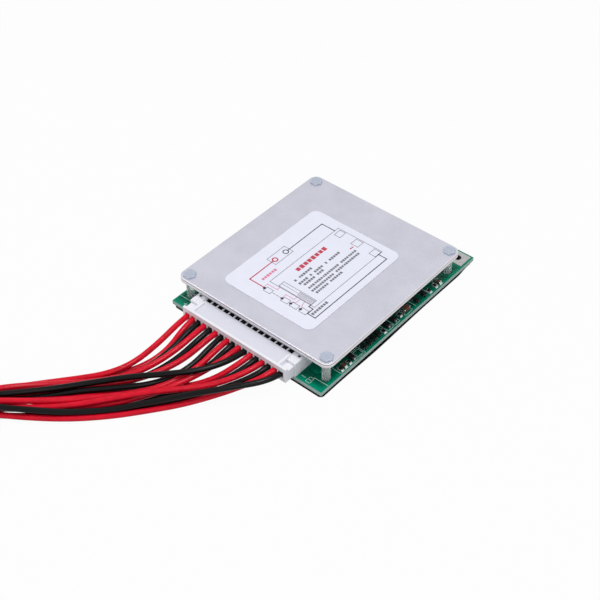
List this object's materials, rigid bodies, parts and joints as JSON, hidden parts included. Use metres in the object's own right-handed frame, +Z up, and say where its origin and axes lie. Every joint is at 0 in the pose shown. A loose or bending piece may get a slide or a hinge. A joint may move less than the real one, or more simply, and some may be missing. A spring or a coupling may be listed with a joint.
{
  "type": "battery management board",
  "caption": "Battery management board: circuit board clamped by nylon screws under an aluminium plate, with a long edge connector and its harness of sense leads.",
  "frame": {"origin": "middle of the board, on the underside of the insulating sheet that it lies on", "axes": "+X along the connector edge, +Y from the connector to the power pads, +Z up through the plate"},
  "size_m": [0.1103, 0.2315, 0.0128],
  "materials": {
    "laminate": "green solder mask over glass laminate",
    "plate": "satin, fine milled",
    "film": "glossy insulating sheet",
    "clear_nylon": "translucent nylon",
    "label": "printed film, satin",
    "white_nylon": "moulded nylon",
    "tinned_pin": "tinned brass",
    "terminal": "tinned bronze",
    "solder": "solder over copper",
    "mosfet": "moulded epoxy",
    "thermal_pad": "soft silicone",
    "black_package": "moulded epoxy",
    "resistor": "glazed chip with tinned ends",
    "capacitor": "ceramic chip with tinned ends",
    "red_lead": "soft insulation",
    "black_lead": "soft insulation",
    "coil": "bundle of red and black leads",
    "tie": "nylon strap"
  },
  "bodies": {
    "root": {"circuit_board": "laminate", "heatsink_plate": "plate", "insulating_sheet": "film", "corner_screws": "clear_nylon", "corner_nuts": "clear_nylon", "label_sticker": "label", "connector_header": "white_nylon", "plug_housing": "white_nylon", "header_pins": "tinned_pin", "crimp_terminals": "terminal", "power_pads": "solder", "power_mosfet_1": "mosfet", "power_mosfet_2": "mosfet", "power_mosfet_3": "mosfet", "power_mosfet_4": "mosfet", "power_mosfet_5": "mosfet", "power_mosfet_6": "mosfet", "power_mosfet_7": "mosfet", "power_mosfet_8": "mosfet", "thermal_pad_1": "thermal_pad", "thermal_pad_2": "thermal_pad", "balance_transistors": "black_package", "cell_detector_ics": "black_package", "monitor_ics": "black_package", "edge_transistors": "black_package", "edge_diodes": "black_package", "balance_resistors": "resistor", "filter_resistors": "resistor", "current_shunts": "resistor", "edge_resistors": "resistor", "filter_capacitors": "capacitor", "edge_capacitors": "capacitor", "lead_01": "red_lead", "lead_02": "red_lead", "lead_04": "red_lead", "lead_06": "red_lead", "lead_08": "red_lead", "lead_10": "red_lead", "lead_12": "red_lead", "lead_14": "red_lead", "lead_16": "red_lead", "lead_03": "black_lead", "lead_05": "black_lead", "lead_07": "black_lead", "lead_09": "black_lead", "lead_11": "black_lead", "lead_13": "black_lead", "lead_15": "black_lead", "lead_17": "black_lead", "harness_coil": "coil", "coil_tie": "tie"}
  },
  "joints": []
}
